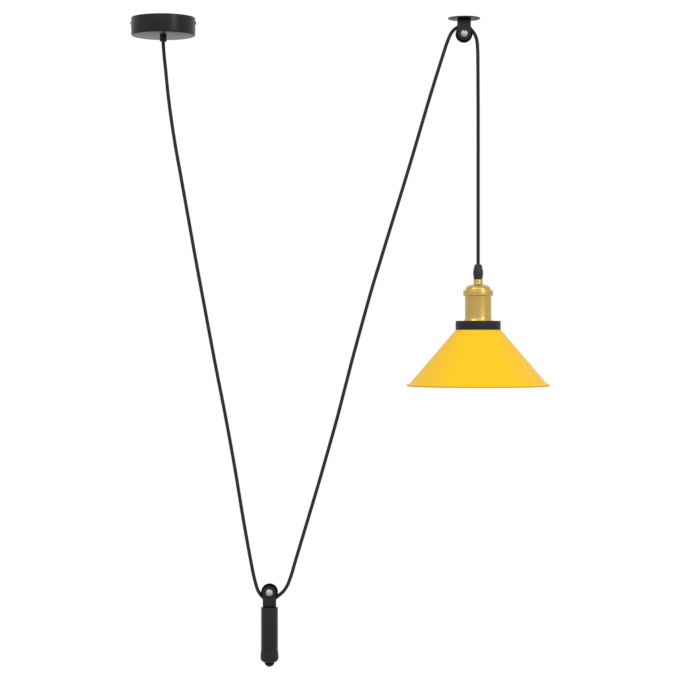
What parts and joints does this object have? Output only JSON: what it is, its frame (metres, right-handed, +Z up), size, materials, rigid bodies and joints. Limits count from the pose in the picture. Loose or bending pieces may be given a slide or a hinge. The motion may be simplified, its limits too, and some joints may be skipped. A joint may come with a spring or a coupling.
{
  "type": "rise and fall pendant lamp",
  "caption": "Pendant lamp with a brass lampholder and a yellow conical shade, raised and lowered by a braided cord that runs round a counterweight and a ceiling pulley.",
  "frame": {"origin": "middle of the ceiling rose on the ceiling plane, between its two screw slots", "axes": "+Z up, +X from the rose towards the ceiling pulley and the lamp, the cord lies in the plane Y = 0 and the axles' domed heads face -Y"},
  "size_m": [0.655, 0.2232, 1.0135],
  "materials": {
    "black_paint": "satin black lacquer on steel",
    "black_plastic": "fine matte black phenolic or nylon",
    "zinc": "zinc-plated steel",
    "bright_steel": "bright nickel-plated steel",
    "brass": "satin lacquered brass",
    "white_plastic": "white nylon",
    "yellow_enamel": "glossy yellow enamel on spun aluminium",
    "braid": "dark braided textile sleeve",
    "live_brown": "brown core insulation",
    "neutral_blue": "blue core insulation",
    "earth_green": "green and yellow core insulation"
  },
  "bodies": {
    "root": {"rose_cup": "black_paint", "rose_strap": "zinc", "rose_side_screws": "black_paint", "rose_cord_grip": "black_plastic", "rose_grip_nut": "black_plastic", "rose_grub_screw": "zinc", "rose_terminal_block": "white_plastic", "rose_terminal_inserts": "brass", "rose_terminal_screws": "bright_steel", "rose_block_screws": "zinc", "rose_earth_screw": "brass", "rose_earth_eyelet": "brass", "rose_earth_lead": "earth_green", "rose_cord_tail": "braid", "rose_live_core": "live_brown", "rose_neutral_core": "neutral_blue", "rose_earth_core": "earth_green", "ceiling_disc": "black_paint", "ceiling_fork": "black_paint", "ceiling_fork_screw": "zinc", "ceiling_fork_nut": "zinc", "ceiling_axle_bolt": "bright_steel", "ceiling_axle_washers": "black_paint", "ceiling_axle_nut": "bright_steel", "ceiling_bush": "brass", "cord_rose_run": "braid", "cord_middle_run": "braid", "cord_lamp_drop": "braid"},
    "ceiling_wheel": {"ceiling_wheel": "black_plastic"},
    "counterweight": {"weight_fork": "black_paint", "weight_axle_bolt": "bright_steel", "weight_axle_washers": "black_paint", "weight_axle_nut": "bright_steel", "weight_bush": "brass", "weight_cylinder": "black_paint", "weight_end_cap": "black_paint", "weight_long_bolt": "zinc", "weight_finial": "black_paint"},
    "weight_wheel": {"weight_wheel": "black_plastic"},
    "lamp": {"lamp_grip_cap": "black_plastic", "lamp_grip_body": "black_plastic", "lamp_grip_nut": "zinc", "holder_dome": "brass", "holder_earth_lug": "brass", "holder_shell": "brass", "holder_socket": "black_plastic", "bulb_screw_shell": "brass", "socket_centre_contact": "brass", "socket_side_contact": "brass", "socket_terminal_screws": "bright_steel", "lamp_cord_tail": "braid", "lamp_live_core": "live_brown", "lamp_neutral_core": "neutral_blue", "lamp_earth_core": "earth_green", "shade_clamp_ring": "black_plastic", "shade": "yellow_enamel", "shade_lock_ring": "black_plastic"}
  },
  "joints": [
    {"name": "lamp_rise", "type": "slide", "parent": "root", "child": "lamp", "axis": [0, 0, 1], "range_m": [-0.7, 0.2], "deforming": ["cord_lamp_drop"]},
    {"name": "weight_travel", "type": "slide", "parent": "root", "child": "counterweight", "axis": [0, 0, 1], "range_m": [-0.105, 0.365], "deforming": ["cord_rose_run", "cord_middle_run"]},
    {"name": "ceiling_wheel_spin", "type": "hinge", "parent": "root", "child": "ceiling_wheel", "pos_m": [0.47, 0, -0.025], "axis": [0, 1, 0], "continuous": true},
    {"name": "weight_wheel_spin", "type": "hinge", "parent": "counterweight", "child": "weight_wheel", "pos_m": [0.166, 0, -0.897], "axis": [0, 1, 0], "continuous": true}
  ],
  "couplings": [
    {"joint": "weight_travel", "follows": "lamp_rise", "ratio": -0.52},
    {"joint": "ceiling_wheel_spin", "follows": "lamp_rise", "rad_per_m": -75.2},
    {"joint": "weight_wheel_spin", "follows": "lamp_rise", "rad_per_m": 38}
  ]
}
